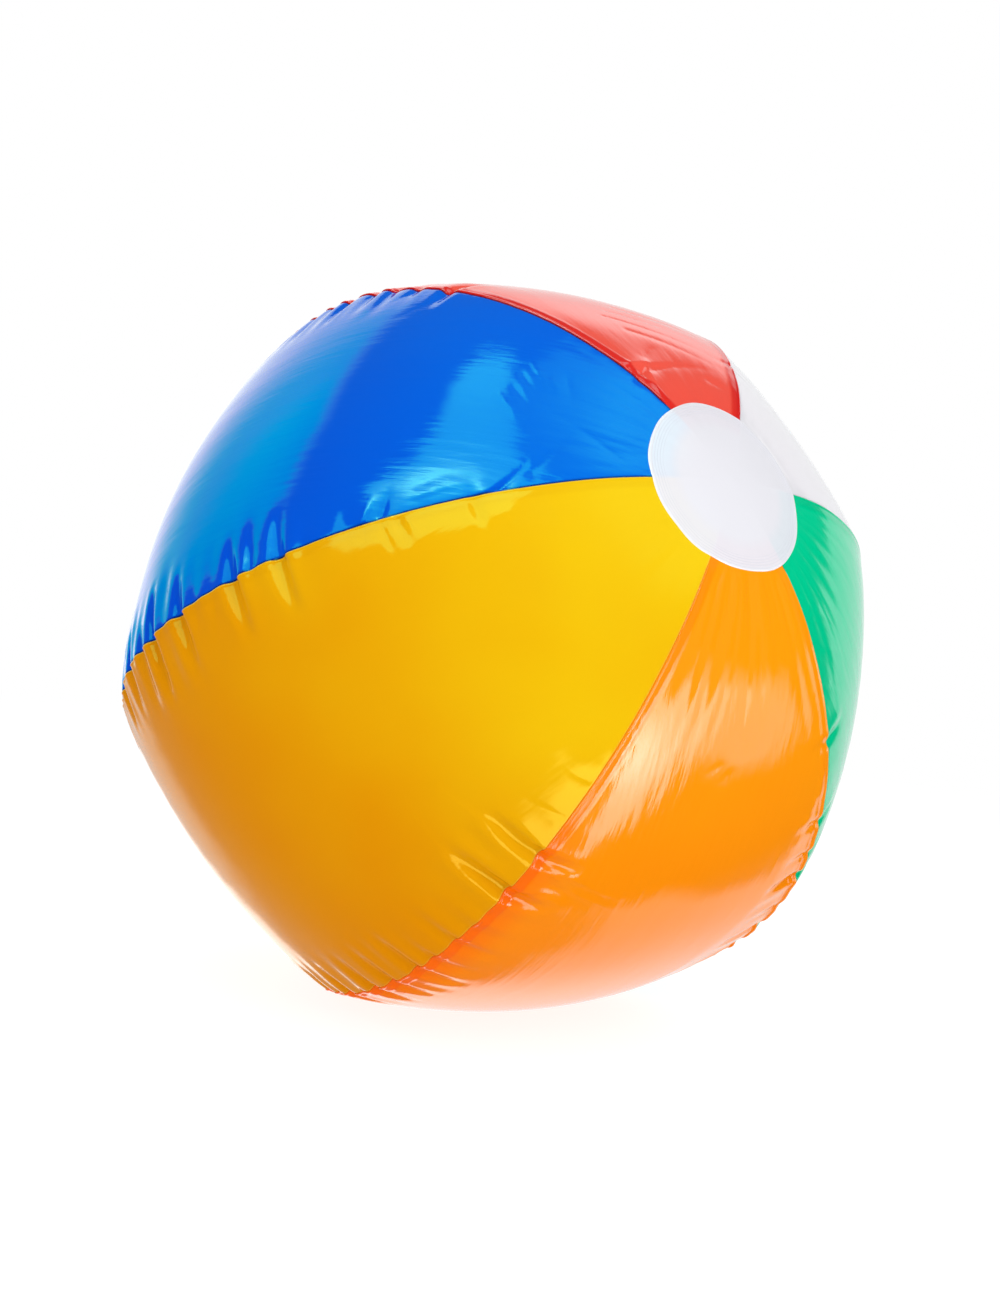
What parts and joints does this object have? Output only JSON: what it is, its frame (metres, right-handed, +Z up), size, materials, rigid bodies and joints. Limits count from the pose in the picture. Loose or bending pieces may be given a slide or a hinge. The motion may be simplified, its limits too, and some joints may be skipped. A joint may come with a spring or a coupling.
{
  "type": "inflatable beach ball",
  "caption": "Blown-up six-gore vinyl beach ball with a round patch at each pole and a push-in air valve with tethered stopper and check flap.",
  "frame": {"origin": "middle of the small flat that the blown-up ball rests on, on the middle line of the orange panel, at floor height", "axes": "+Z up as the ball lies; the plain end disc's pole points 30 degrees above the horizon, towards +X and -Y; the valve is at the opposite, lower pole"},
  "size_m": [0.3258, 0.3247, 0.3225],
  "materials": {
    "vinyl_blue": "gloss",
    "vinyl_yellow": "gloss",
    "vinyl_orange": "gloss",
    "vinyl_green": "gloss",
    "vinyl_white": "gloss",
    "vinyl_red": "gloss",
    "disc_white": "gloss",
    "valve_vinyl": "gloss"
  },
  "bodies": {
    "ball": {"panel_blue": "vinyl_blue", "panel_yellow": "vinyl_yellow", "panel_orange": "vinyl_orange", "panel_green": "vinyl_green", "panel_white": "vinyl_white", "panel_red": "vinyl_red", "end_disc": "disc_white", "valve_disc": "disc_white", "valve_flange": "valve_vinyl", "valve_bellows": "valve_vinyl"},
    "valve": {"valve_stem": "valve_vinyl", "plug_strap": "valve_vinyl"},
    "stopper": {"valve_plug": "valve_vinyl"},
    "flap": {"check_flap": "valve_vinyl"}
  },
  "joints": [
    {"name": "valve_pop", "type": "slide", "parent": "ball", "child": "valve", "axis": [-0.509, 0.7006, -0.5], "range_m": [0, 0.012], "deforming": ["valve_bellows"]},
    {"name": "plug_hinge", "type": "hinge", "parent": "valve", "child": "stopper", "pos_m": [-0.08601, 0.11838, 0.08454], "axis": [0.809, 0.5878, 0], "range_deg": [0, 150]},
    {"name": "flap_hinge", "type": "hinge", "parent": "valve", "child": "flap", "pos_m": [-0.07529, 0.10363, 0.09172], "axis": [0.809, 0.5878, 0], "range_deg": [-60, 0]}
  ]
}
